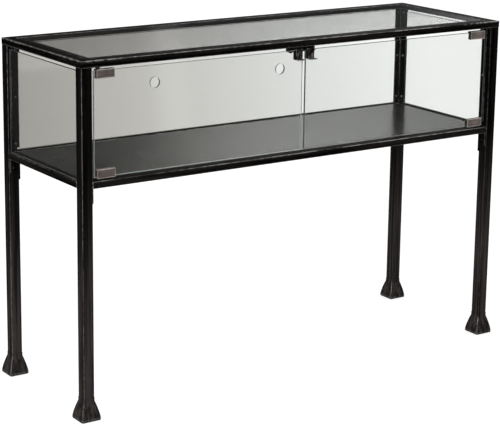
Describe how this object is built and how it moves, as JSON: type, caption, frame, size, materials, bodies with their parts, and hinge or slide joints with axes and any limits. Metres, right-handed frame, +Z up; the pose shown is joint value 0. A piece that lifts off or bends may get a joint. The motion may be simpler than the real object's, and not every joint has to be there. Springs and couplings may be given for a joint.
{
  "type": "display console table",
  "caption": "Console table with a glass display case under its flush glass top, two frameless glass doors on pivot clips, a dark metal shelf and square legs on flared feet.",
  "frame": {"origin": "on the floor in the middle of the four feet", "axes": "+X along the table to the right as seen from the doors, -Y towards the doors, +Z up"},
  "size_m": [1.131, 0.377, 0.762],
  "materials": {
    "frame_steel": "satin near-black with edges rubbed to silver",
    "cast_foot": "satin near-black with edges rubbed to silver",
    "shelf_steel": "semi-gloss charcoal",
    "clear_glass": "clear with polished edges",
    "dark_nickel": "brushed brown-grey nickel",
    "black_clip": "satin black",
    "pin_steel": "turned steel",
    "black_plastic": "moulded black",
    "magnet": "ground ceramic magnet",
    "black_screw": "black oxide"
  },
  "bodies": {
    "frame": {"bracket_bolt_front_left": "black_screw", "bracket_bolt_front_right": "black_screw", "bracket_bolt_rear_left": "black_screw", "bracket_bolt_rear_right": "black_screw", "catch_housing": "black_plastic", "catch_magnet_left": "magnet", "catch_magnet_right": "magnet", "catch_screw_left": "black_screw", "catch_screw_right": "black_screw", "corner_strip_front_left": "frame_steel", "corner_strip_front_right": "frame_steel", "corner_strip_rear_left": "frame_steel", "corner_strip_rear_right": "frame_steel", "foot_front_left": "cast_foot", "foot_front_right": "cast_foot", "foot_rear_left": "cast_foot", "foot_rear_right": "cast_foot", "leg_bracket_front_left": "frame_steel", "leg_bracket_front_right": "frame_steel", "leg_bracket_rear_left": "frame_steel", "leg_bracket_rear_right": "frame_steel", "leg_front_left": "frame_steel", "leg_front_right": "frame_steel", "leg_rear_left": "frame_steel", "leg_rear_right": "frame_steel", "pivot_bush_lower_left": "black_plastic", "pivot_bush_lower_right": "black_plastic", "pivot_bush_upper_left": "black_plastic", "pivot_bush_upper_right": "black_plastic", "rear_glass": "clear_glass", "shelf_panel": "shelf_steel", "shelf_rail_front": "frame_steel", "shelf_rail_left": "frame_steel", "shelf_rail_rear": "frame_steel", "shelf_rail_right": "frame_steel", "side_glass_left": "clear_glass", "side_glass_right": "clear_glass", "top_glass": "clear_glass", "top_rail_front": "frame_steel", "top_rail_left": "frame_steel", "top_rail_rear": "frame_steel", "top_rail_right": "frame_steel"},
    "left_door": {"left_clip_screw_lower": "black_screw", "left_clip_screw_pull": "black_screw", "left_clip_screw_upper": "black_screw", "left_door_glass": "clear_glass", "left_hinge_clip_lower": "dark_nickel", "left_hinge_clip_upper": "dark_nickel", "left_pivot_pin_lower": "pin_steel", "left_pivot_pin_upper": "pin_steel", "left_pull_clip": "black_clip"},
    "right_door": {"right_clip_screw_lower": "black_screw", "right_clip_screw_pull": "black_screw", "right_clip_screw_upper": "black_screw", "right_door_glass": "clear_glass", "right_hinge_clip_lower": "dark_nickel", "right_hinge_clip_upper": "dark_nickel", "right_pivot_pin_lower": "pin_steel", "right_pivot_pin_upper": "pin_steel", "right_pull_clip": "black_clip"}
  },
  "joints": [
    {"name": "left_door_swing", "type": "hinge", "parent": "frame", "child": "left_door", "pos_m": [-0.512, -0.1675, 0.6285], "axis": [0, 0, -1], "range_deg": [0, 110]},
    {"name": "right_door_swing", "type": "hinge", "parent": "frame", "child": "right_door", "pos_m": [0.512, -0.1675, 0.6285], "axis": [0, 0, 1], "range_deg": [0, 110]}
  ]
}
